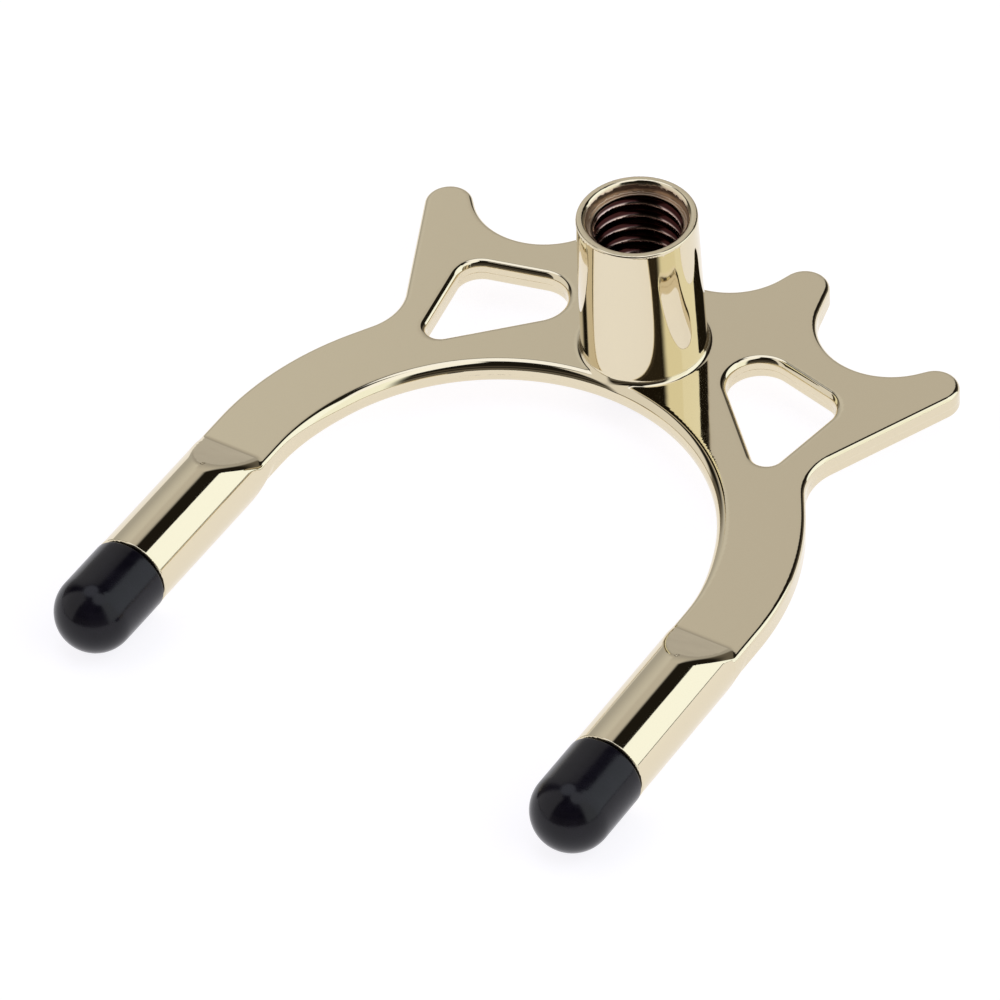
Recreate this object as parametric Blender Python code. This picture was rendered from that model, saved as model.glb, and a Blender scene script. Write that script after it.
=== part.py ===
"""Cue bridge head: a plated metal casting and two rubber end caps.

The casting is one piece: a flat plate with two windows and three cue
notches, a threaded boss standing on it, and two round legs. A rubber cap
is pushed over the reduced end of each leg.

Frame: metres, +Z up along the boss, legs along -Y, X across. The origin is
at the bottom centre of the bounding box, with the plate level.
"""
import bpy
import bmesh
import math
from mathutils import Vector

MM = 0.001

# Heights of the main faces, all in millimetres.
ROD_R = 7.4
ROD_Z = 7.5                       # leg axis above the lowest point of the caps
PLATE_TOP = 10.3
PLATE_BOTTOM = 5.4

# Radii of the rounding where the plate's faces meet its side walls.
EDGE_ROUND = 1.0
WINDOW_ROUND = 1.4
CROWN_ROUND = 2.2                 # inner arc, at the crown
LEG_ROUND = 1.0                   # inner arc, where it reaches the legs
EDGE_DEPTHS = (0.0, 0.12, 0.45, 1.0, 2.0)

# The plate is drawn about the centre of its inner arc, which sits this far
# behind the origin.
ARC_Y = -14.65
INNER_FLAT_R = 44.0               # where the flat faces meet the rounded inner edge
LEG_X = 50.1
TONGUE = (57.0, -6.5)             # outer corner of the band's end inside each leg

# Outline of the right half: centre x, centre y, radius. A negative radius is
# a hollow corner. Each pair of neighbours is joined by its common tangent.
OUTLINE = (
    (0.0, 0.7, 57.4),             # outer side of the band
    (55.6, 40.6, -10.9),          # waist
    (52.4, 70.4, 4.6),            # outer tip
    (37.3, 81.4, -14.0),          # side notch
    (17.95, 82.1, 4.7),           # inner tip
    (0.0, 86.4, -13.65),          # centre notch
)
WINDOW = (
    (24.2, 55.8, 6.1),
    (34.9, 40.6, 2.8),
    (35.6, 54.7, 4.5),
)

# Legs, measured along -Y from the arc's centre.
CREASE_Y = -5.2
APEX_Y = -15.5
SHOULDER_Y = -39.0
SPIGOT_R = 5.5
SPIGOT_END_Y = -50.6
SHOULDER_CHAMFER = 0.4

# Rubber caps.
CAP_R = 7.5
CAP_BORE_R = 5.8
CAP_EDGE_Y = -39.3
CAP_BORE_END_Y = -51.4
CAP_DOME_Y = -50.0

# Threaded boss.
BOSS_Y = 55.1
BOSS_HEIGHT = 30.6
BOSS_TOP_R = 11.1
BOSS_BASE_R = 11.7
BOSS_FILLET = 1.0
BOSS_TRIM_R = 43.38               # the fillet stops at the rounded inner edge
MOUTH_R = 9.9
COUNTERBORE_R = 9.3
COUNTERBORE_DEPTH = 2.4
THREAD_MAJOR_R = 8.8
THREAD_MINOR_R = 7.8
THREAD_PITCH = 3.0
THREAD_BOTTOM = 5.0               # above the plate's top face
BORE_BOTTOM = 2.0

ROUND_SEGMENTS = 48
BORE_SEGMENTS = 32
THREAD_ROWS = 40
INNER_STEPS = 48
ARC_STEP = math.radians(7.5)


def clear_scene():
    for obj in list(bpy.data.objects):
        bpy.data.objects.remove(obj, do_unlink=True)


def material(name, colour, roughness, metallic):
    mat = bpy.data.materials.new(name)
    mat.use_nodes = True
    shader = mat.node_tree.nodes["Principled BSDF"]
    shader.inputs["Base Color"].default_value = (*colour, 1.0)
    shader.inputs["Roughness"].default_value = roughness
    shader.inputs["Metallic"].default_value = metallic
    mat.diffuse_color = (*colour, 1.0)
    return mat


def make_object(name, points, faces, mat=None):
    """A mesh object from points in millimetres, with outward faces."""
    mesh = bpy.data.meshes.new(name)
    mesh.from_pydata([[c * MM for c in p] for p in points], [], faces)
    body = bmesh.new()
    body.from_mesh(mesh)
    bmesh.ops.recalc_face_normals(body, faces=body.faces)
    body.to_mesh(mesh)
    body.free()
    obj = bpy.data.objects.new(name, mesh)
    bpy.context.scene.collection.objects.link(obj)
    if mat:
        mesh.materials.append(mat)
    return obj


def combine(target, tool, operation):
    """Apply one exact Boolean and remove the tool."""
    modifier = target.modifiers.new(operation.lower(), "BOOLEAN")
    modifier.operation = operation
    modifier.solver = "EXACT"
    modifier.object = tool
    depsgraph = bpy.context.evaluated_depsgraph_get()
    result = bpy.data.meshes.new_from_object(target.evaluated_get(depsgraph))
    target.modifiers.remove(modifier)
    old = target.data
    target.data = result
    bpy.data.meshes.remove(old)
    bpy.data.objects.remove(tool, do_unlink=True)
    return target


def tangent(a, b):
    """End points of the directed tangent from circle a to circle b."""
    ca = Vector(a[:2])
    cb = Vector(b[:2])
    along = (cb - ca).normalized()
    s = (b[2] - a[2]) / (cb - ca).length
    across = Vector((-along.y, along.x))
    normal = s * along + math.sqrt(1.0 - s * s) * across
    return ca - a[2] * normal, cb - b[2] * normal


def corner(circle, start, end):
    """Points round one circle from start to end, both included."""
    centre = Vector(circle[:2])
    a0 = math.atan2(*(start - centre).yx)
    a1 = math.atan2(*(end - centre).yx)
    turn = (a1 - a0) % math.tau if circle[2] > 0 else -((a0 - a1) % math.tau)
    steps = max(2, math.ceil(abs(turn) / ARC_STEP - 1e-6))
    radius = abs(circle[2])
    return [
        (
            centre.x + radius * math.cos(a0 + turn * i / steps),
            centre.y + radius * math.sin(a0 + turn * i / steps),
        )
        for i in range(steps + 1)
    ]


def belt(circles):
    """A closed outline that runs round the circles in order."""
    count = len(circles)
    spans = [tangent(circles[i], circles[(i + 1) % count]) for i in range(count)]
    points = []
    for i, circle in enumerate(circles):
        points += corner(circle, spans[i - 1][1], spans[i][0])
    return points


def edge_inset(depth, radius):
    """How far a rounded edge stands back at a depth below its face."""
    left = max(0.0, radius - depth)
    return radius - math.sqrt(radius * radius - left * left)


def inner_radius(angle, depth):
    """Radius of the inner arc's wall; its rounding grows towards the crown."""
    grow = min(1.0, (INNER_FLAT_R * math.sin(angle) + 2.0) / 18.0)
    grow = grow * grow * (3.0 - 2.0 * grow)
    radius = LEG_ROUND + (CROWN_ROUND - LEG_ROUND) * grow
    return INNER_FLAT_R - radius + edge_inset(depth, radius)


def plate_outline(depth):
    """The plate's whole outline at a depth below its nearer face."""
    inset = edge_inset(depth, EDGE_ROUND)
    chain = [(x, y, r - inset) for x, y, r in OUTLINE]
    half = [(TONGUE[0] - inset, TONGUE[1] + inset)]
    previous_end = Vector((chain[0][0] + chain[0][2], chain[0][1]))
    for i, circle in enumerate(chain[:-1]):
        leave, arrive = tangent(circle, chain[i + 1])
        half += corner(circle, previous_end, leave)
        previous_end = arrive
    notch = chain[-1]
    bottom = Vector((0.0, notch[1] + notch[2]))
    half += corner(notch, previous_end, bottom)
    left = [(-x, y) for x, y in reversed(half[:-1])]
    foot = inner_radius(0.0, depth)
    arc = [(-foot, TONGUE[1] + inset)]
    for i in range(INNER_STEPS + 1):
        angle = math.pi * (1.0 - i / INNER_STEPS)
        radius = inner_radius(angle, depth)
        arc.append((radius * math.cos(angle), radius * math.sin(angle)))
    arc.append((foot, TONGUE[1] + inset))
    return half + left + arc


def window_outline(depth):
    inset = edge_inset(depth, WINDOW_ROUND)
    return belt([(x, y, r + inset) for x, y, r in WINDOW])


def place(outline, z):
    return [(x, y + ARC_Y, z) for x, y in outline]


def loft(rings):
    """Faces that join rings of equal length and close both ends."""
    count = len(rings[0])
    points = [p for ring in rings for p in ring]
    faces = []
    for level in range(len(rings) - 1):
        for i in range(count):
            j = (i + 1) % count
            low = level * count
            faces.append((low + i, low + j, low + count + j, low + count + i))
    faces.append(tuple(range(count - 1, -1, -1)))
    faces.append(tuple(range(len(points) - count, len(points))))
    return points, faces


def edge_levels():
    """Height and depth below the nearer face of each ring on the plate's edge."""
    lower = [(PLATE_BOTTOM + depth, depth) for depth in EDGE_DEPTHS]
    upper = [(PLATE_TOP - depth, depth) for depth in reversed(EDGE_DEPTHS)]
    return lower + upper


def make_plate():
    rings = [place(plate_outline(depth), z) for z, depth in edge_levels()]
    return make_object("plate", *loft(rings))


def window_cutter(side):
    levels = [(PLATE_BOTTOM - 1.0, 0.0)] + edge_levels() + [(PLATE_TOP + 1.0, 0.0)]
    rings = []
    for z, depth in levels:
        ring = place(window_outline(depth), z)
        rings.append([(side * x, y, z) for x, y, z in ring])
    return make_object("window", *loft(rings))


def turned(profile, segments):
    """Rings of a round piece: profile holds (radius, position) pairs."""
    rings = []
    for radius, position in profile:
        ring = []
        for i in range(segments):
            angle = math.tau * (i + 0.5) / segments
            ring.append((radius * math.cos(angle), radius * math.sin(angle), position))
        rings.append(ring)
    return rings


def along_leg(rings, side):
    """Turn rings built on Z so that they lie along a leg."""
    x0 = side * LEG_X
    return [[(x0 + x, y, ROD_Z + z) for x, z, y in ring] for ring in rings]


def leg_profile():
    tip = ARC_Y + SPIGOT_END_Y
    shoulder = ARC_Y + SHOULDER_Y
    return [
        (SPIGOT_R - 0.6, tip),
        (SPIGOT_R, tip + 0.6),
        (SPIGOT_R, shoulder),
        (ROD_R - SHOULDER_CHAMFER, shoulder),
        (ROD_R, shoulder + SHOULDER_CHAMFER),
        (ROD_R, ARC_Y + CREASE_Y - 0.4),
        (ROD_R - 0.3, ARC_Y + CREASE_Y + 1.4),
        (6.2, ARC_Y + 1.0),
    ]


def facet_side(flat):
    """Half of the facet block's outline: (y, height) from the leg's axis.

    The slope rises from the plate's flat face at the crease to the rod's
    full radius at the apex; its foot is buried a little inside the plate.
    """
    slope = (ROD_R - flat) / (CREASE_Y - APEX_Y)
    buried = flat - 0.3
    foot = CREASE_Y + 0.3 / slope
    reach = ROD_R + 1.0
    return [(1.5, buried), (foot, buried), (APEX_Y - 1.0 / slope, reach), (SPIGOT_END_Y - 1.0, reach)]


def facet_block(side):
    """Keeps the rod below and above its two sloping faces."""
    above = facet_side(PLATE_TOP - ROD_Z)
    below = facet_side(ROD_Z - PLATE_BOTTOM)
    outline = above + [(y, -z) for y, z in reversed(below)]
    reach = ROD_R + 1.0
    rings = []
    for x in (side * LEG_X - reach, side * LEG_X + reach):
        rings.append([(x, ARC_Y + y, ROD_Z + z) for y, z in outline])
    return make_object("facet_block", *loft(rings))


def make_leg(side):
    rings = along_leg(turned(leg_profile(), ROUND_SEGMENTS), side)
    leg = make_object("leg", *loft(rings))
    return combine(leg, facet_block(side), "INTERSECT")


def boss_profile():
    root = -(PLATE_TOP - PLATE_BOTTOM) / 2
    profile = [(BOSS_BASE_R - 0.6, root), (BOSS_BASE_R + BOSS_FILLET, root)]
    for i in range(4):
        angle = math.pi / 6 * i
        radius = BOSS_BASE_R + BOSS_FILLET * (1.0 - math.sin(angle))
        profile.append((radius, BOSS_FILLET * (1.0 - math.cos(angle))))
    profile += [
        (BOSS_TOP_R, BOSS_HEIGHT - 0.4),
        (BOSS_TOP_R - 0.12, BOSS_HEIGHT - 0.12),
        (BOSS_TOP_R - 0.4, BOSS_HEIGHT),
    ]
    return profile


def boss_rings(profile):
    centre_y = ARC_Y + BOSS_Y
    rings = turned(profile, ROUND_SEGMENTS)
    return [[(x, y + centre_y, PLATE_TOP + z) for x, y, z in ring] for ring in rings]


def make_boss():
    """The boss, trimmed so that its fillet stops at the plate's inner edge."""
    boss = make_object("boss", *loft(boss_rings(boss_profile())))
    radius = BOSS_TRIM_R
    rings = []
    for z in (PLATE_BOTTOM - 1.0, PLATE_TOP + BOSS_HEIGHT + 1.0):
        ring = []
        for i in range(120):
            angle = math.tau * i / 120
            ring.append((radius * math.cos(angle), ARC_Y + radius * math.sin(angle), z))
        rings.append(ring)
    return combine(boss, make_object("inner_side", *loft(rings)), "DIFFERENCE")


def thread_radius(angle, z):
    """Radius of the bore's wall, with a rounded screw thread."""
    start = BOSS_HEIGHT - COUNTERBORE_DEPTH
    mean = (THREAD_MAJOR_R + THREAD_MINOR_R) / 2
    depth = (THREAD_MAJOR_R - THREAD_MINOR_R) / 2
    fade = min(1.0, (start - z) / 1.0, (z - THREAD_BOTTOM) / 1.0)
    phase = z / THREAD_PITCH - angle / math.tau
    return mean + max(fade, 0.0) * depth * math.cos(math.tau * phase)


def bore_cutter():
    """The threaded bore with its mouth, as one closed solid."""
    top = BOSS_HEIGHT
    start = top - COUNTERBORE_DEPTH
    mean = (THREAD_MAJOR_R + THREAD_MINOR_R) / 2
    rings = turned([(mean, BORE_BOTTOM), (mean, THREAD_BOTTOM)], BORE_SEGMENTS)
    for k in range(1, THREAD_ROWS):
        z = THREAD_BOTTOM + (start - THREAD_BOTTOM) * k / THREAD_ROWS
        ring = []
        for i in range(BORE_SEGMENTS):
            angle = math.tau * (i + 0.5) / BORE_SEGMENTS
            radius = thread_radius(angle, z)
            ring.append((radius * math.cos(angle), radius * math.sin(angle), z))
        rings.append(ring)
    rings += turned(
        [
            (mean, start),
            (COUNTERBORE_R - 0.1, start + 0.5),
            (COUNTERBORE_R, top - 0.6),
            (MOUTH_R, top),
            (MOUTH_R + 1.0, top + 1.0),
        ],
        BORE_SEGMENTS,
    )
    centre_y = ARC_Y + BOSS_Y
    rings = [[(x, y + centre_y, PLATE_TOP + z) for x, y, z in ring] for ring in rings]
    return make_object("bore", *loft(rings))


def make_bridge_head(mat):
    head = make_plate()
    head.name = "bridge_head"
    for side in (-1, 1):
        combine(head, window_cutter(side), "DIFFERENCE")
    for side in (-1, 1):
        combine(head, make_leg(side), "UNION")
    combine(head, make_boss(), "UNION")
    combine(head, bore_cutter(), "DIFFERENCE")
    head.data.name = "bridge_head"
    head.data.materials.clear()
    head.data.materials.append(mat)
    return head


def cap_profile():
    """Outer wall from the open edge to the dome's tip."""
    profile = [(CAP_R - 0.3, CAP_EDGE_Y), (CAP_R, CAP_EDGE_Y - 0.3)]
    steps = 10
    for i in range(steps):
        angle = math.pi / 2 * i / steps
        profile.append((CAP_R * math.cos(angle), CAP_DOME_Y - CAP_R * math.sin(angle)))
    return profile


def make_cap(name, side, mat):
    """A domed sleeve; its origin is on the leg's axis at the open edge."""
    bore = [(CAP_BORE_R + 0.2, CAP_EDGE_Y), (CAP_BORE_R, CAP_EDGE_Y - 0.2)]
    bore.append((CAP_BORE_R, CAP_BORE_END_Y))
    profile = list(reversed(bore)) + cap_profile()
    rings = turned([(r, y - CAP_EDGE_Y) for r, y in profile], ROUND_SEGMENTS)
    rings = [[(x, y, z) for x, z, y in ring] for ring in rings]
    points, faces = loft(rings)
    faces.pop()
    tip = len(points)
    points.append((0.0, CAP_DOME_Y - CAP_R - CAP_EDGE_Y, 0.0))
    last = tip - ROUND_SEGMENTS
    for i in range(ROUND_SEGMENTS):
        faces.append((last + i, last + (i + 1) % ROUND_SEGMENTS, tip))
    cap = make_object(name, points, faces, mat)
    cap.location = Vector((side * LEG_X, ARC_Y + CAP_EDGE_Y, ROD_Z)) * MM
    return cap


def shade(obj, limit):
    """Smooth shading that keeps edges sharper than the limit."""
    mesh = obj.data
    mesh.shade_smooth()
    body = bmesh.new()
    body.from_mesh(mesh)
    for edge in body.edges:
        if len(edge.link_faces) == 2:
            edge.smooth = edge.calc_face_angle(0.0) < limit
    body.to_mesh(mesh)
    body.free()


def main():
    clear_scene()
    plated = material("pale_gold_plate", (0.72, 0.62, 0.43), 0.08, 1.0)
    rubber = material("black_rubber", (0.014, 0.013, 0.017), 0.45, 0.0)
    shade(make_bridge_head(plated), math.radians(25))
    shade(make_cap("left_rubber_cap", -1, rubber), math.radians(25))
    shade(make_cap("right_rubber_cap", 1, rubber), math.radians(25))


main()
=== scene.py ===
"""Billiard cue bridge head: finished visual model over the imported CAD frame."""
import bmesh
import bpy
import math
import numpy as np
from mathutils import Matrix, Vector


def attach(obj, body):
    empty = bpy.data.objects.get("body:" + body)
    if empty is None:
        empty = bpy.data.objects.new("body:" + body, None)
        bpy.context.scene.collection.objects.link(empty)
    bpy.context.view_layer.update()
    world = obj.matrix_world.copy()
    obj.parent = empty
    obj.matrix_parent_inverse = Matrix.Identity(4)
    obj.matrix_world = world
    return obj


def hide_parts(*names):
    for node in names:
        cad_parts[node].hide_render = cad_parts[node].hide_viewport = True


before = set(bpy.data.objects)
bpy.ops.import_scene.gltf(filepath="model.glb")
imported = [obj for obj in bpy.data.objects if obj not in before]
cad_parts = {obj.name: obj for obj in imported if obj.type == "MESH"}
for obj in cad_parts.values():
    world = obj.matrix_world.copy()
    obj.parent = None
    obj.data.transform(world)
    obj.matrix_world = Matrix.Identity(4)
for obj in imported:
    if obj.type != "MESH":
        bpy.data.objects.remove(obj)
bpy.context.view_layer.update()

MM = 0.001

# ---------------------------------------------------------------- dimensions
# Millimetres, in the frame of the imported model. Every other y is measured
# from ARC_Y, where the arch's centre is, and heights in the boss are measured
# from the plate's top.
ARC_Y = -14.65
ROD_R = 7.4
ROD_Z = 7.5
LEG_X = 50.1
PLATE_TOP = 10.3
PLATE_BOTTOM = 5.4
EDGE_ROUND = 1.0
WINDOW_ROUND = 1.4

# The arch's inner edge: its radius at the flat faces, and its rounding, which
# grows from the legs to the crown over GROW_RUN.
INNER_FLAT_R = 44.0
INNER_ROUND = 2.2
INNER_ROUND_LEG = 1.0
GROW_LEAD = 2.0
GROW_RUN = 18.0

# The circles (x, y, radius) that the plate's outer edge follows from the leg
# to the middle, hollow where the radius is negative, and the window's corners.
OUTLINE = (
    (0.0, 0.7, 57.4),
    (55.6, 40.6, -10.9),
    (52.4, 70.4, 4.6),
    (37.3, 81.4, -14.0),
    (17.95, 82.1, 4.7),
    (0.0, 86.4, -13.65),
)
WINDOW = ((24.2, 55.8, 6.1), (34.9, 40.6, 2.8), (35.6, 54.7, 4.5))

# The flat facets that lead from the plate to each leg, and the leg itself.
CREASE_Y = -5.2
APEX_Y = -15.5
FACET_ROUND = (0.6, 1.8)          # at the apex and at the crease
FACET_SHARPER = 0.35              # share of it on each rod's -X side
TONGUE_OVERLAP = 2.6              # how far the plate runs into the leg
TAIL_END_Y = 1.5                  # where the rod ends inside the plate
TAIL_LEAD = 1.0
TAIL_RUN = 4.0
TAIL_SINK = 0.5                   # the rod thins by this under the plate's faces
LEG_FILLET = 0.2
SHOULDER_Y = -39.0
SHOULDER_CHAMFER = (0.6, 0.28)
SHOULDER_ROUND = 0.08
SPIGOT_R = 5.5
SPIGOT_END_Y = -50.6
SPIGOT_ROUND = 0.6
SPIGOT_ROOT = 3.0                 # how far the spigot runs into the rod

# The rubber caps.
CAP_R = 7.5
CAP_BORE_R = 5.8
CAP_EDGE_Y = -39.3
CAP_BORE_END_Y = -51.4
CAP_DOME_Y = -50.0
CAP_LIP_INNER = 0.25
CAP_LIP_OUTER = 0.35

# The boss and its tapped bore.
BOSS_Y = 55.1
BOSS_HEIGHT = 30.6
BOSS_TOP_R = 11.1
BOSS_BASE_R = 11.7
BOSS_FILLET = 1.0
BOSS_TOP_ROUND = 0.35
BOSS_ROOT = 1.5                   # how far the boss runs down into the plate
MOUTH_R = 9.9
MOUTH_ROUND = 0.18
COUNTERBORE_R = 9.3
COUNTERBORE_DEPTH = 2.4
COUNTERBORE_TAPER = 0.04
SEAT_SLOPE = 0.35
THREAD_SCALE = 0.72               # keeps the thread's field close to a distance
THREAD_RUN_IN = 0.8
THREAD_RUN_OUT = 1.5
THREAD_MAJOR_R = 8.8
THREAD_MINOR_R = 7.8
THREAD_PITCH = 3.0
THREAD_BOTTOM = 5.0
BORE_BOTTOM = 2.0


# ------------------------------------------------- the casting as a distance
# Each function gives a distance field in millimetres, negative inside.
def tangent(a, b):
    """End points of the directed tangent from circle a to circle b."""
    ca = np.array(a[:2])
    cb = np.array(b[:2])
    length = np.hypot(*(cb - ca))
    along = (cb - ca) / length
    s = (b[2] - a[2]) / length
    normal = s * along + math.sqrt(1.0 - s * s) * np.array((-along[1], along[0]))
    return ca - a[2] * normal, cb - b[2] * normal


def outline_parts():
    """Lines and arcs of the plate's right side, from the leg to the middle."""
    start = np.array((OUTLINE[0][2], OUTLINE[0][1]))
    below = np.array((start[0], -60.0))
    lines = [(below, start)]
    arcs = []
    for here, after in zip(OUTLINE[:-1], OUTLINE[1:]):
        leave, arrive = tangent(here, after)
        arcs.append((here, start, leave))
        lines.append((leave, arrive))
        start = arrive
    last = OUTLINE[-1]
    arcs.append((last, start, np.array((0.0, last[1] + last[2]))))
    return lines, arcs


def window_parts():
    """Lines and arcs round the right window."""
    lines = []
    arcs = []
    spans = [tangent(WINDOW[i], WINDOW[(i + 1) % 3]) for i in range(3)]
    for i, circle in enumerate(WINDOW):
        arcs.append((circle, spans[i - 1][1], spans[i][0]))
        lines.append(spans[i])
    return lines, arcs


def line_gap(x, y, a, b):
    """Distance to a line from a to b, and its sign: left of it is inside."""
    d = b - a
    t = np.clip(((x - a[0]) * d[0] + (y - a[1]) * d[1]) / (d @ d), 0.0, 1.0)
    gap = np.hypot(x - a[0] - t * d[0], y - a[1] - t * d[1])
    side = np.where(d[0] * (y - a[1]) - d[1] * (x - a[0]) > 0, -1.0, 1.0)
    return gap, side


def arc_gap(x, y, circle, a, b):
    """The same for an arc from a to b, endless away from the arc's own span."""
    cx, cy, r = circle
    bend = math.copysign(1.0, r)
    a0 = math.atan2(a[1] - cy, a[0] - cx)
    turn = (math.atan2(b[1] - cy, b[0] - cx) - a0) * bend
    angle = (np.arctan2(y - cy, x - cx) - a0) * bend
    on_arc = np.mod(angle, math.tau) <= turn % math.tau
    reach = np.hypot(x - cx, y - cy) - abs(r)
    return np.where(on_arc, np.abs(reach), np.inf), np.sign(reach) * bend


def signed_distance(x, y, parts):
    """Distance to a chain of tangent lines and arcs; its left is inside."""
    best = np.full(x.shape, np.inf)
    sign = np.ones(x.shape)
    lines, arcs = parts
    gaps = [line_gap(x, y, *line) for line in lines]
    gaps += [arc_gap(x, y, *arc) for arc in arcs]
    for gap, side in gaps:
        near = gap < best
        best = np.where(near, gap, best)
        sign = np.where(near, side, sign)
    return best * sign


def round_max(a, b, radius):
    """Intersection of two fields with a rounded edge."""
    corner = np.hypot(np.maximum(a + radius, 0.0), np.maximum(b + radius, 0.0))
    return np.minimum(np.maximum(a, b), -radius) + corner


def round_min(a, b, radius):
    """Union of two fields with a fillet."""
    return -round_max(-a, -b, radius)


class Flat:
    """The plate's outline distances, which do not depend on height."""

    outline = outline_parts()
    window = window_parts()

    def __init__(self, x, y):
        side = np.abs(x)
        v = y - ARC_Y
        self.rim = signed_distance(side, v, self.outline)
        grow = np.clip((v + GROW_LEAD) / GROW_RUN, 0.0, 1.0)
        grow = grow * grow * (3.0 - 2.0 * grow)
        self.inner_round = INNER_ROUND_LEG + (INNER_ROUND - INNER_ROUND_LEG) * grow
        reach = np.where(v > 0, np.hypot(side, v), side)
        self.inner = INNER_FLAT_R - self.inner_round - reach
        self.hole = -signed_distance(side, v, self.window)


def plate_field(flat, y, z):
    """The flat arch with its two windows."""
    middle = (PLATE_TOP + PLATE_BOTTOM) / 2
    slab = np.abs(z - middle) - (PLATE_TOP - PLATE_BOTTOM) / 2
    tongue = ARC_Y + CREASE_Y - TONGUE_OVERLAP - y
    outer = round_max(np.maximum(flat.rim, tongue), slab, EDGE_ROUND)
    window = round_max(flat.hole, slab, WINDOW_ROUND)
    inner = round_max(flat.inner, slab, flat.inner_round)
    return np.maximum(np.maximum(outer, window), inner)


def facet(height, level, v):
    """The plane that slopes from the crease at one level to the rod's crown."""
    run = CREASE_Y - APEX_Y
    rise = ROD_R - level
    return ((height - level) * run + (v - CREASE_Y) * rise) / math.hypot(run, rise)


def rod_field(side, z, v, edge):
    """A leg's rod, cut by the facets above and below and by its shoulder."""
    sink = TAIL_SINK * np.clip((v - CREASE_Y + TAIL_LEAD) / TAIL_RUN, 0.0, 1.0) ** 2
    rod = np.hypot(side, z - ROD_Z) - ROD_R + sink
    above = facet(z - ROD_Z, PLATE_TOP - ROD_Z, v)
    below = facet(ROD_Z - z, ROD_Z - PLATE_BOTTOM, v)
    rod = round_max(rod, np.maximum(above, below), edge)
    rod = np.maximum(rod, v - TAIL_END_Y)
    wide, deep = SHOULDER_CHAMFER
    bevel = (rod + wide) * deep + (SHOULDER_Y - v) * wide
    rod = round_max(rod, bevel / math.hypot(wide, deep), SHOULDER_ROUND)
    return round_max(rod, SHOULDER_Y - v, SHOULDER_ROUND)


def leg_field(x, y, z):
    """Both legs: the rods, and the spigots that the rubber caps slide on."""
    v = y - ARC_Y
    side = np.abs(x) - LEG_X
    toward = np.clip((v - APEX_Y) / (CREASE_Y - APEX_Y), 0.0, 1.0)
    edge = FACET_ROUND[0] + (FACET_ROUND[1] - FACET_ROUND[0]) * toward * toward
    edge = edge * np.where(x - np.sign(x) * LEG_X > 0, 1.0, FACET_SHARPER)
    rod = rod_field(side, z, v, edge)
    spigot = np.hypot(side, z - ROD_Z) - SPIGOT_R
    spigot = round_max(spigot, SPIGOT_END_Y - v, SPIGOT_ROUND)
    spigot = np.maximum(spigot, v - SHOULDER_Y - SPIGOT_ROOT)
    return np.minimum(rod, spigot)


def thread_wall(x, y, z):
    """Radius of the tapped wall at each point, above the plate's top."""
    start = BOSS_HEIGHT - COUNTERBORE_DEPTH
    mean = (THREAD_MAJOR_R + THREAD_MINOR_R) / 2
    depth = (THREAD_MAJOR_R - THREAD_MINOR_R) / 2
    phase = z / THREAD_PITCH - np.arctan2(y, x) / math.tau
    wave = 1.0 - 2.0 * (0.5 - 0.5 * np.cos(math.tau * phase)) ** 2
    taper = np.minimum((start - z) / THREAD_RUN_IN, (z - THREAD_BOTTOM) / THREAD_RUN_OUT)
    return mean + depth * wave * np.clip(taper, 0.0, 1.0)


def bore_field(x, y, z):
    """The tapped hole, its counterbore and the flare at its mouth."""
    radius = np.hypot(x, y)
    tapped = (radius - thread_wall(x, y, z)) * THREAD_SCALE
    tapped = np.maximum(tapped, BORE_BOTTOM - z)
    mouth = radius - COUNTERBORE_R + COUNTERBORE_TAPER * (BOSS_HEIGHT - z)
    seat = BOSS_HEIGHT - COUNTERBORE_DEPTH + SEAT_SLOPE * (COUNTERBORE_R - radius) - z
    mouth = np.maximum(mouth, seat)
    flare = (radius - MOUTH_R - (z - BOSS_HEIGHT)) / math.sqrt(2.0)
    return np.minimum(np.minimum(tapped, mouth), flare)


def boss_field(x, y, z):
    """The solid boss, tapered to its top."""
    wall = BOSS_BASE_R + (BOSS_TOP_R - BOSS_BASE_R) * z / BOSS_HEIGHT
    boss = round_max(np.hypot(x, y) - wall, z - BOSS_HEIGHT, BOSS_TOP_ROUND)
    return np.maximum(boss, -BOSS_ROOT - z)


def casting_field(x, y, z, flat=None):
    """The whole head; a caller that has the outline's distances passes them."""
    flat = flat or Flat(x, y)
    by = y - ARC_Y - BOSS_Y
    up = z - PLATE_TOP
    body = round_min(plate_field(flat, y, z), leg_field(x, y, z), LEG_FILLET)
    body = round_min(body, boss_field(x, by, up), BOSS_FILLET)
    return round_max(body, -bore_field(x, by, up), MOUTH_ROUND)


# --------------------------------------------------- from distance to a mesh
def spacing(stops, steps):
    """Grid lines through the stops, each span cut to about its own step."""
    lines = [np.array([stops[0]])]
    for a, b, step in zip(stops[:-1], stops[1:], steps):
        count = max(1, math.ceil((b - a) / step))
        lines.append(np.linspace(a, b, count + 1)[1:])
    return np.concatenate(lines)


def casting_grid():
    """Grid lines along x, y and z, closer together where the shape is fine.

    The small shifts keep grid lines off the faces that lie square to them.
    """
    boss = 12.6
    leg = 8.5
    right = spacing((0.0, boss, LEG_X - leg, LEG_X + leg), (0.36, 0.50, 0.38))
    x = np.concatenate((-right[:0:-1], right)) + 0.013
    by = ARC_Y + BOSS_Y
    tips = ARC_Y + SPIGOT_END_Y - 0.9
    apex = ARC_Y + APEX_Y - 1.0
    crease = ARC_Y + CREASE_Y + 1.2
    far = 72.9
    y = spacing((tips, apex, crease, by - boss, by + boss, far), (0.50, 0.34, 0.50, 0.36, 0.50))
    top = PLATE_TOP + BOSS_HEIGHT + 0.7
    z = spacing((-0.45, PLATE_BOTTOM - 0.6, PLATE_TOP + 1.5, 15.6, top), (0.38, 0.32, 0.36, 0.40))
    return x, y, z + 0.007


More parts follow.
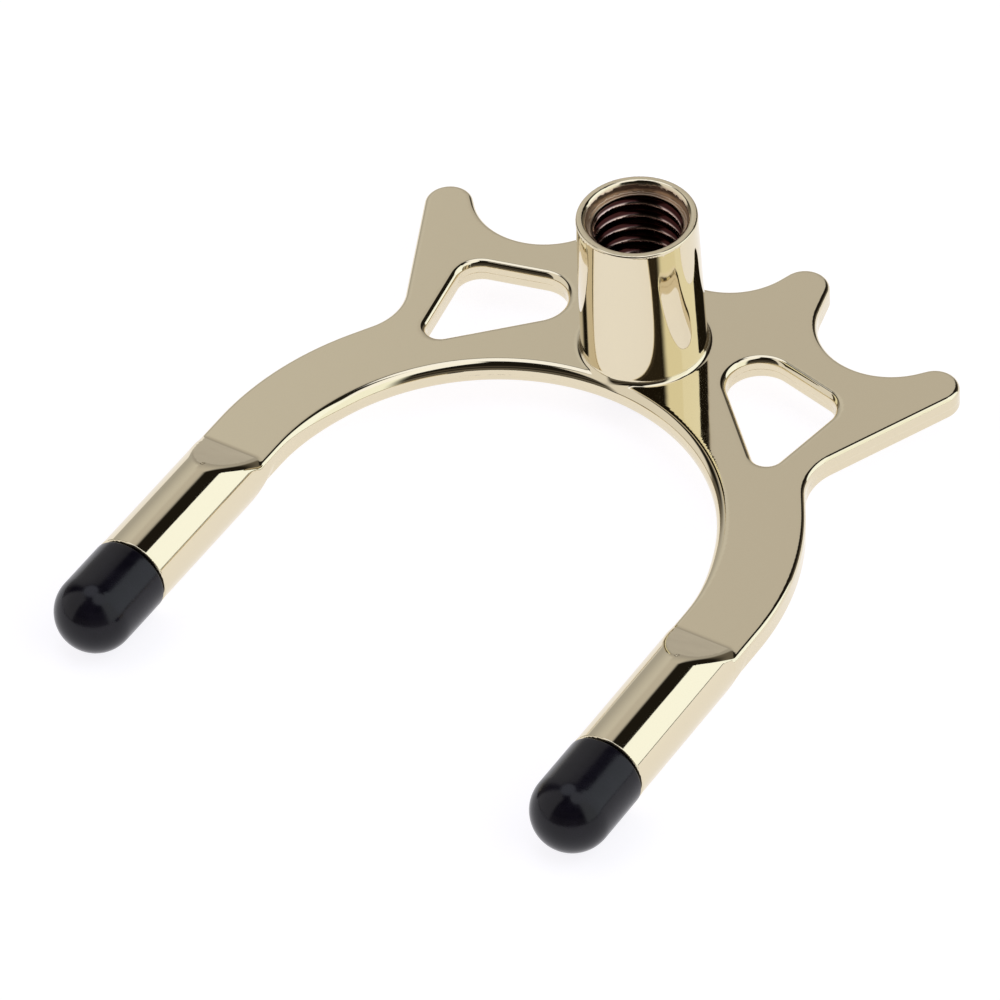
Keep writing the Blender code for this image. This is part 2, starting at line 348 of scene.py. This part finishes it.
def sample_grid(x, y, z):
    """The field on the grid, one slab of y at a time to save memory."""
    field = np.empty((len(x), len(y), len(z)), np.float32)
    slab = 32
    for start in range(0, len(y), slab):
        gx, gy = np.meshgrid(x, y[start:start + slab], indexing="ij")
        gx = gx[..., None]
        gy = gy[..., None]
        flat = Flat(gx, gy)
        field[:, start:start + slab] = casting_field(gx, gy, z[None, None, :], flat)
    return field


def gradient(points):
    """The field's slope at each point, from central differences."""
    h = 0.004
    x, y, z = points.T
    parts = []
    for axis in range(3):
        step = np.zeros(3)
        step[axis] = h
        ahead = casting_field(x + step[0], y + step[1], z + step[2])
        behind = casting_field(x - step[0], y - step[1], z - step[2])
        parts.append((ahead - behind) / (2 * h))
    return np.stack(parts, axis=1)


# The twelve edges of a grid cell: each one's axis and the corner it starts at.
EDGES = [
    (a, tuple(offset))
    for a in range(3)
    for offset in np.ndindex(2, 2, 2)
    if offset[a] == 0
]


def cell_points(field, lines, cells):
    """One starting point per crossed cell: the mean of its edge crossings."""
    total = np.zeros((len(cells), 3))
    count = np.zeros(len(cells))
    for axis, offset in EDGES:
        low = cells + np.array(offset)
        high = low.copy()
        high[:, axis] += 1
        f0 = field[tuple(low.T)].astype(float)
        f1 = field[tuple(high.T)].astype(float)
        hit = (f0 < 0) != (f1 < 0)
        t = np.where(hit, f0 / np.where(hit, f0 - f1, 1.0), 0.0)
        for a in range(3):
            start = lines[a][low[:, a]]
            move = t * (lines[a][high[:, a]] - start) if a == axis else 0.0
            total[:, a] += np.where(hit, start + move, 0.0)
        count += hit
    return total / count[:, None]


def cell_faces(field, index):
    """A quad round every grid edge that the surface crosses."""
    quads = []
    inside = field < 0
    for axis in range(3):
        u, v = [(1, 2), (2, 0), (0, 1)][axis]
        ahead = np.roll(inside, -1, axis)
        crossed = inside != ahead
        keep = [slice(1, -1)] * 3
        keep[axis] = slice(0, -1)
        spot = np.argwhere(crossed[tuple(keep)])
        spot += np.array([s.start for s in keep])
        step_u = np.eye(3, dtype=int)[u]
        step_v = np.eye(3, dtype=int)[v]
        ring = (spot, spot - step_u, spot - step_u - step_v, spot - step_v)
        quad = np.stack([index[tuple(c.T)] for c in ring], axis=1)
        outward = inside[tuple(spot.T)]
        quad[~outward] = quad[~outward][:, ::-1]
        quads.append(quad)
    return np.concatenate(quads)


def settle(points):
    """Move points onto the surface, a few Newton steps along the slope."""
    for _ in range(4):
        slope = gradient(points)
        size = np.maximum((slope ** 2).sum(1), 0.05)
        move = casting_field(*points.T) / size
        points -= np.clip(move, -0.2, 0.2)[:, None] * slope
    return points


def casting_mesh_data():
    """Points, normals and quads of the casting, one point per crossed cell."""
    lines = casting_grid()
    field = sample_grid(*lines)
    inside = field < 0
    corners = [inside[i:i - 1 or None, j:j - 1 or None, k:k - 1 or None]
               for i, j, k in np.ndindex(2, 2, 2)]
    mixed = np.logical_or.reduce(corners) & ~np.logical_and.reduce(corners)
    cells = np.argwhere(mixed)
    index = np.full(field.shape, -1, np.int32)
    index[tuple(cells.T)] = np.arange(len(cells))
    points = settle(cell_points(field, lines, cells))
    normals = gradient(points)
    normals /= np.linalg.norm(normals, axis=1)[:, None]
    return points, normals, cell_faces(field, index)


def add_mesh(name, points, faces, normals=None):
    """A smooth mesh object from points in millimetres."""
    mesh = bpy.data.meshes.new(name)
    mesh.from_pydata(np.asarray(points) * MM, [], faces)
    mesh.polygons.foreach_set("use_smooth", [True] * len(mesh.polygons))
    if normals is not None:
        layer = mesh.attributes.new("surface_normal", "FLOAT_VECTOR", "POINT")
        layer.data.foreach_set("vector", np.asarray(normals).ravel())
        merge_flats(mesh)
        kept = np.empty(len(mesh.vertices) * 3)
        mesh.attributes["surface_normal"].data.foreach_get("vector", kept)
        mesh.normals_split_custom_set_from_vertices(kept.reshape(-1, 3))
        mesh.attributes.remove(mesh.attributes["surface_normal"])
    obj = bpy.data.objects.new(name, mesh)
    bpy.context.scene.collection.objects.link(obj)
    return obj


def merge_flats(mesh):
    """Join coplanar faces; the stored normals stay with their vertices."""
    body = bmesh.new()
    body.from_mesh(mesh)
    bmesh.ops.dissolve_limit(
        body, angle_limit=math.radians(0.03), verts=body.verts, edges=body.edges
    )
    bmesh.ops.triangulate(body, faces=[f for f in body.faces if len(f.verts) > 4])
    body.to_mesh(mesh)
    body.free()


def casting():
    """The plated head in one piece: plate, legs and boss."""
    points, normals, quads = casting_mesh_data()
    obj = add_mesh("bridge_casting", points, quads.tolist(), normals)
    obj.data.materials.append(plated_metal("pale_gold_plating"))
    return obj


# -------------------------------------------------------------------- caps
def quarter_turn(steps):
    """Sine and cosine at even steps from 0 to 90 degrees."""
    turns = [math.pi / 2 * i / steps for i in range(steps + 1)]
    return [(math.sin(turn), math.cos(turn)) for turn in turns]


def cap_profile():
    """(y, radius) pairs from the closed bore end, round the lip, to the tip."""
    corner = 0.5
    slack = 0.15
    rows = [
        (CAP_BORE_END_Y, 0.0),
        (CAP_BORE_END_Y, CAP_BORE_R - corner),
        (CAP_BORE_END_Y + slack, CAP_BORE_R - slack),
        (CAP_BORE_END_Y + corner, CAP_BORE_R),
        (CAP_EDGE_Y - corner, CAP_BORE_R),
    ]
    edge = CAP_EDGE_Y - CAP_LIP_INNER
    for s, c in quarter_turn(6):
        rows.append((edge + CAP_LIP_INNER * s, CAP_BORE_R + CAP_LIP_INNER * (1 - c)))
    edge = CAP_EDGE_Y - CAP_LIP_OUTER
    for s, c in quarter_turn(8):
        rows.append((edge + CAP_LIP_OUTER * c, CAP_R - CAP_LIP_OUTER + CAP_LIP_OUTER * s))
    for y in np.linspace(CAP_EDGE_Y - 1.2, CAP_DOME_Y, 12):
        rows.append((float(y), CAP_R))
    for s, c in quarter_turn(32)[1:]:
        rows.append((CAP_DOME_Y - CAP_R * s, CAP_R * c))
    return rows


def turned(profile, centre_x, segments=128):
    """Points and faces of a solid of revolution about a leg's axis."""
    points = []
    faces = []
    for y, r in profile:
        for k in range(segments):
            turn = math.tau * (k + 0.5) / segments
            points.append((centre_x + r * math.cos(turn), ARC_Y + y, ROD_Z + r * math.sin(turn)))
    for i in range(len(profile) - 1):
        for k in range(segments):
            after = (k + 1) % segments
            ring = (i * segments + k, i * segments + after,
                    (i + 1) * segments + after, (i + 1) * segments + k)
            faces.append(ring)
    return points, faces


def rubber_cap(name, centre_x, mat):
    """One cap on its leg, with its bore end and its tip closed to a point."""
    points, faces = turned(cap_profile(), centre_x)
    obj = add_mesh(name, points, faces)
    body = bmesh.new()
    body.from_mesh(obj.data)
    bmesh.ops.remove_doubles(body, verts=body.verts, dist=0.0001 * MM)
    bmesh.ops.recalc_face_normals(body, faces=body.faces)
    body.to_mesh(obj.data)
    body.free()
    obj.data.materials.append(mat)
    return obj


# --------------------------------------------------------------- materials
class Nodes:
    """Small helper for wiring one material's nodes."""

    def __init__(self, tree):
        self.tree = tree

    def add(self, kind, **values):
        node = self.tree.nodes.new(kind)
        for key, value in values.items():
            setattr(node, key, value)
        return node

    def link(self, source, target):
        self.tree.links.new(source, target)

    def put(self, socket, value):
        """Link another node's output, or set a plain value."""
        if hasattr(value, "is_linked"):
            self.link(value, socket)
        else:
            socket.default_value = value

    def math(self, operation, *values):
        node = self.add("ShaderNodeMath", operation=operation)
        for socket, value in zip(node.inputs, values):
            self.put(socket, value)
        return node.outputs[0]

    def ramp(self, value, low, high, to_low=0.0, to_high=1.0):
        """A smooth step from one level to another as the value rises."""
        node = self.add("ShaderNodeMapRange", interpolation_type="SMOOTHSTEP")
        for name, item in (("Value", value), ("From Min", low), ("From Max", high),
                           ("To Min", to_low), ("To Max", to_high)):
            self.put(node.inputs[name], item)
        return node.outputs["Result"]

    def noise(self, vector, scale, detail=2.0, roughness=0.5):
        node = self.add("ShaderNodeTexNoise")
        self.put(node.inputs["Vector"], vector)
        node.inputs["Scale"].default_value = scale
        node.inputs["Detail"].default_value = detail
        node.inputs["Roughness"].default_value = roughness
        return node.outputs["Fac"]

    def mix_rgb(self, factor, a, b):
        node = self.add("ShaderNodeMix", data_type="RGBA")
        self.put(node.inputs[0], factor)
        self.put(node.inputs[6], a)
        self.put(node.inputs[7], b)
        return node.outputs[2]


def new_material(name):
    """A material, its wiring helper, its shader and its object coordinates."""
    mat = bpy.data.materials.new(name)
    mat.use_nodes = True
    nodes = Nodes(mat.node_tree)
    shader = mat.node_tree.nodes["Principled BSDF"]
    place = nodes.add("ShaderNodeTexCoord").outputs["Object"]
    return mat, nodes, shader, place


def bore_masks(nodes, x, y, z):
    """Distance from the bore's axis, and masks for the bore and its thread."""
    by = nodes.math("SUBTRACT", y, (ARC_Y + BOSS_Y) * MM)
    radius = nodes.math("SQRT", nodes.math("ADD", nodes.math("POWER", x, 2.0),
                                           nodes.math("POWER", by, 2.0)))
    top = (PLATE_TOP + BOSS_HEIGHT) * MM
    bore = nodes.ramp(radius, COUNTERBORE_R * MM, MOUTH_R * MM, 1.0, 0.0)
    bore = nodes.math("MULTIPLY", bore, nodes.ramp(z, top - 0.6 * MM, top - 0.1 * MM, 1.0, 0.0))
    thread = nodes.ramp(z, top - 3.2 * MM, top - 2.1 * MM, 1.0, 0.0)
    return radius, bore, nodes.math("MULTIPLY", thread, bore)


def plating_colour(nodes, radius, bore, thread):
    """Gold plate outside, turned brass at the mouth; down the thread, painted shade in the grooves
    and a painted highlight on the crests.
    """
    plate = (0.75, 0.665, 0.485, 1.0)
    turned_brass = (0.60, 0.46, 0.34, 1.0)
    # The thread's two colours are painted light: near-black painted shade in its grooves, pale
    # pink painted highlight on its crests.
    groove_shade_colour = (0.036, 0.011, 0.010, 1.0)
    crest_highlight_colour = (0.80, 0.60, 0.54, 1.0)
    # Mask of the painted highlight: a band of radius round the thread's crests.
    crest_highlight = nodes.ramp(radius, THREAD_MINOR_R * MM, (THREAD_MINOR_R + 0.40) * MM, 1.0, 0.0)
    floor_edge = (THREAD_MINOR_R - 0.6) * MM
    crest_highlight = nodes.math("MULTIPLY", crest_highlight, nodes.ramp(radius, floor_edge, floor_edge + 0.3 * MM))
    colour = nodes.mix_rgb(bore, plate, turned_brass)
    return nodes.mix_rgb(thread, colour, nodes.mix_rgb(crest_highlight, groove_shade_colour, crest_highlight_colour))


def plating_roughness(nodes, place, bore, thread):
    """Mirror bright with faint smears outside, duller down the bore."""
    smear = nodes.noise(place, 90.0, 3.0, 0.6)
    gloss = nodes.ramp(smear, 0.35, 0.75, 0.035, 0.07)
    gloss = nodes.math("ADD", gloss, nodes.math("MULTIPLY", bore, 0.26))
    return nodes.math("SUBTRACT", gloss, nodes.math("MULTIPLY", thread, 0.18))


def mould_seam(nodes, place, y, z):
    """Height of the faint parting line half way up the plate's edge."""
    middle = (PLATE_TOP + PLATE_BOTTOM) / 2 * MM
    seam = nodes.math("ABSOLUTE", nodes.math("SUBTRACT", z, middle))
    wander = nodes.noise(place, 700.0, 2.0)
    seam = nodes.math("ADD", seam, nodes.math("MULTIPLY", wander, 0.12 * MM))
    seam = nodes.ramp(seam, 0.04 * MM, 0.22 * MM, 1.0, 0.0)
    return nodes.math("MULTIPLY", seam, nodes.ramp(y, 12.0 * MM, 20.0 * MM))


def plated_metal(name):
    """Polished pale-gold plating, bare and coppery down the threaded bore, where the thread's
    colour is painted shade and painted highlight.
    """
    mat, nodes, shader, place = new_material(name)
    split = nodes.add("ShaderNodeSeparateXYZ")
    nodes.link(place, split.inputs[0])
    x, y, z = split.outputs
    radius, bore, thread = bore_masks(nodes, x, y, z)
    shader.inputs["Metallic"].default_value = 1.0
    nodes.link(plating_colour(nodes, radius, bore, thread), shader.inputs["Base Color"])
    nodes.link(plating_roughness(nodes, place, bore, thread), shader.inputs["Roughness"])
    ripple = add_bump(nodes, nodes.noise(place, 260.0, 1.0), 0.02, 0.4 * MM)
    seam = mould_seam(nodes, place, y, z)
    nodes.link(add_bump(nodes, seam, 0.7, 0.07 * MM, ripple), shader.inputs["Normal"])
    return mat


def add_bump(nodes, height, strength, distance, normal=None):
    """A bump node's normal, laid over another one where that is given."""
    bump = nodes.add("ShaderNodeBump")
    bump.inputs["Strength"].default_value = strength
    bump.inputs["Distance"].default_value = distance
    nodes.link(height, bump.inputs["Height"])
    if normal:
        nodes.link(normal, bump.inputs["Normal"])
    return bump.outputs[0]


def rubber(name):
    """Satin black moulded rubber."""
    mat, nodes, shader, place = new_material(name)
    tone = nodes.noise(place, 220.0, 4.0, 0.6)
    dark = (0.0045, 0.0038, 0.0075, 1.0)
    light = (0.0080, 0.0068, 0.0120, 1.0)
    nodes.link(nodes.mix_rgb(nodes.ramp(tone, 0.3, 0.7), dark, light), shader.inputs["Base Color"])
    shader.inputs["Specular IOR Level"].default_value = 0.27
    nodes.link(nodes.ramp(tone, 0.3, 0.7, 0.15, 0.22), shader.inputs["Roughness"])
    grain = nodes.noise(place, 2600.0, 3.0, 0.6)
    nodes.link(add_bump(nodes, grain, 0.10, 0.06 * MM), shader.inputs["Normal"])
    return mat


# ------------------------------------------------------------------ studio
def direction(azimuth, elevation):
    """Unit vector; azimuth 0 is -Y and 90 is +X, in degrees."""
    a = math.radians(azimuth)
    e = math.radians(elevation)
    return Vector((math.sin(a) * math.cos(e), -math.cos(a) * math.cos(e), math.sin(e)))


# Upright soft walls of light: centre azimuth, half width, lowest and highest
# elevation, softness of the edges (all in degrees), colour.
WALLS = (
    (0.0, 200.0, 1.6, 20.0, 12.0, (0.20, 0.18, 0.15)),
    (15.0, 50.0, 30.0, 38.0, 14.0, (0.10, 0.085, 0.07)),
    (-58.0, 30.0, 1.6, 68.0, 6.0, (0.90, 0.885, 0.88)),
    (-138.0, 30.0, -5.0, 55.0, 14.0, (0.70, 0.69, 0.675)),
    (-156.0, 12.0, -5.0, 55.0, 10.0, (0.625, 0.605, 0.585)),
    (99.0, 29.0, 1.6, 63.0, 12.0, (1.18, 1.25, 1.22)),
    (125.0, 22.0, 1.6, 63.0, 1.6, (1.26, 1.36, 1.42)),
)
# Two overhead lamps: azimuth, elevation, radius, softness, colour.
LAMPS = (
    (-120.0, 75.0, 17.5, 3.0, (1.25, 1.30, 1.45)),
    (86.0, 72.0, 17.0, 3.0, (1.25, 1.30, 1.40)),
)
ROOM = (0.014, 0.012, 0.009)
TALL_WALL = 60.0                  # a wall that reaches higher is evenly bright
WALL_DIP = 0.70                   # the others are dimmer just over the floor


def studio_light():
    """Soft lights round a dark room, drawn on the world by direction."""
    world = bpy.data.worlds.new("studio")
    world.use_nodes = True
    bpy.context.scene.world = world
    nodes = Nodes(world.node_tree)
    way = nodes.add("ShaderNodeTexCoord").outputs["Generated"]
    split = nodes.add("ShaderNodeSeparateXYZ")
    nodes.link(way, split.inputs[0])
    height = nodes.math("ARCSINE", split.outputs[2])
    light = (*ROOM, 1.0)
    for wall in WALLS:
        light = add_wall(nodes, way, height, light, *wall)
    for lamp in LAMPS:
        light = add_lamp(nodes, way, light, *lamp)
    nodes.link(light, world.node_tree.nodes["Background"].inputs["Color"])


def along(nodes, way, axis):
    """How far the direction looked in goes along an axis."""
    dot = nodes.add("ShaderNodeVectorMath", operation="DOT_PRODUCT")
    nodes.link(way, dot.inputs[0])
    dot.inputs[1].default_value = axis
    return dot.outputs["Value"]


def fade(nodes, value, limit, soft, rising=False):
    """1 on one side of a limit in degrees and 0 on the other."""
    low = math.radians(limit - soft / 2)
    high = math.radians(limit + soft / 2)
    return nodes.ramp(value, low, high, *((0.0, 1.0) if rising else (1.0, 0.0)))


def add_wall(nodes, way, height, light, azimuth, half, low, high, soft, colour):
    """Lay one wall of light over the light so far."""
    ahead = along(nodes, way, direction(azimuth, 0.0))
    across = along(nodes, way, direction(azimuth + 90.0, 0.0))
    turn = nodes.math("ABSOLUTE", nodes.math("ARCTAN2", across, ahead))
    mask = fade(nodes, turn, half, soft)
    mask = nodes.math("MULTIPLY", mask, fade(nodes, height, high, soft))
    edge = min(soft, 1.6)
    mask = nodes.math("MULTIPLY", mask, fade(nodes, height, low, edge, rising=True))
    level = 1.0 if high > TALL_WALL else wall_level(nodes, height)
    scaled = nodes.mix_rgb(level, (0.0, 0.0, 0.0, 1.0), (*colour, 1.0))
    return nodes.mix_rgb(mask, light, scaled)


def wall_level(nodes, height):
    """Brightness up a low wall: full at its foot, a dip, then full again."""
    level = nodes.ramp(height, math.radians(9.0), math.radians(44.0), WALL_DIP, 1.0)
    foot = nodes.ramp(height, 0.0, math.radians(8.0), 1.0, 0.0)
    return nodes.math("MAXIMUM", level, foot)


def add_lamp(nodes, way, light, azimuth, elevation, radius, soft, colour):
    """Lay one round lamp over the light so far."""
    turn = nodes.math("ARCCOSINE", along(nodes, way, direction(azimuth, elevation)))
    return nodes.mix_rgb(fade(nodes, turn, radius, soft), light, (*colour, 1.0))


def white_floor():
    """A matt sheet that glows, so that the object's shadow on it stays faint."""
    mat = bpy.data.materials.new("white_floor")
    mat.use_nodes = True
    shader = mat.node_tree.nodes["Principled BSDF"]
    shader.inputs["Base Color"].default_value = (0.3, 0.3, 0.3, 1.0)
    shader.inputs["Roughness"].default_value = 0.9
    shader.inputs["Specular IOR Level"].default_value = 0.1
    shader.inputs["Emission Color"].default_value = (1.0, 0.99, 1.025, 1.0)
    shader.inputs["Emission Strength"].default_value = 0.85
    return mat


def floor():
    """A wide square that the object stands on."""
    mesh = bpy.data.meshes.new("floor")
    half = 30.0                   # metres
    corners = [(-half, -half, 0.0), (half, -half, 0.0), (half, half, 0.0), (-half, half, 0.0)]
    mesh.from_pydata(corners, [], [(0, 1, 2, 3)])
    mesh.materials.append(white_floor())
    obj = bpy.data.objects.new("floor", mesh)
    bpy.context.scene.collection.objects.link(obj)


# ------------------------------------------------------------------ camera
# Angles in radians, lengths in metres.
CAMERA_AZIMUTH = 0.6209
CAMERA_ELEVATION = 0.7630
CAMERA_ROLL = -0.0793
CAMERA_DISTANCE = 1.41986
CAMERA_AIM_Y = -0.00005
CAMERA_FOCAL = 7.8943             # focal length over the picture's width
CAMERA_OFFSET = (0.0261, -0.0251)   # the aim point in the picture, from its centre
SENSOR_WIDTH = 36.0               # millimetres


def camera_axes():
    """The camera's right, up and back directions, rolled about its view."""
    a = CAMERA_AZIMUTH
    e = CAMERA_ELEVATION
    back = Vector((math.sin(a) * math.cos(e), -math.cos(a) * math.cos(e), math.sin(e)))
    level = Vector((math.cos(a), math.sin(a), 0.0))
    upright = back.cross(level)
    right = math.cos(CAMERA_ROLL) * level + math.sin(CAMERA_ROLL) * upright
    up = math.cos(CAMERA_ROLL) * upright - math.sin(CAMERA_ROLL) * level
    return right, up, back


def camera():
    """A long lens, aimed so that the middle of the arch is a little off centre."""
    right, up, back = camera_axes()
    shift_x = CAMERA_OFFSET[0] / CAMERA_FOCAL * CAMERA_DISTANCE
    shift_y = CAMERA_OFFSET[1] / CAMERA_FOCAL * CAMERA_DISTANCE
    aim = Vector((0.0, CAMERA_AIM_Y, PLATE_TOP * MM))
    place = aim + back * CAMERA_DISTANCE - right * shift_x + up * shift_y
    data = bpy.data.cameras.new("camera")
    data.sensor_width = SENSOR_WIDTH
    data.lens = CAMERA_FOCAL * SENSOR_WIDTH
    data.clip_start = 0.05
    data.clip_end = 60.0
    obj = bpy.data.objects.new("camera", data)
    turn = Matrix((right, up, back)).transposed().to_4x4()
    obj.matrix_world = Matrix.Translation(place) @ turn
    bpy.context.scene.collection.objects.link(obj)
    bpy.context.scene.camera = obj


# ----------------------------------------------------------------- assembly
def build():
    """The three pieces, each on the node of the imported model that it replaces."""
    head = casting()
    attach(head, "head")
    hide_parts("bridge_head")
    black = rubber("black_rubber_satin")
    for side, sign in (("left", -1.0), ("right", 1.0)):
        cap = rubber_cap(side + "_cap_rubber", sign * LEG_X, black)
        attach(cap, side + "_cap")
        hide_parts(side + "_rubber_cap")


build()
floor()
studio_light()
camera()
bpy.context.scene.view_settings.view_transform = "Standard"
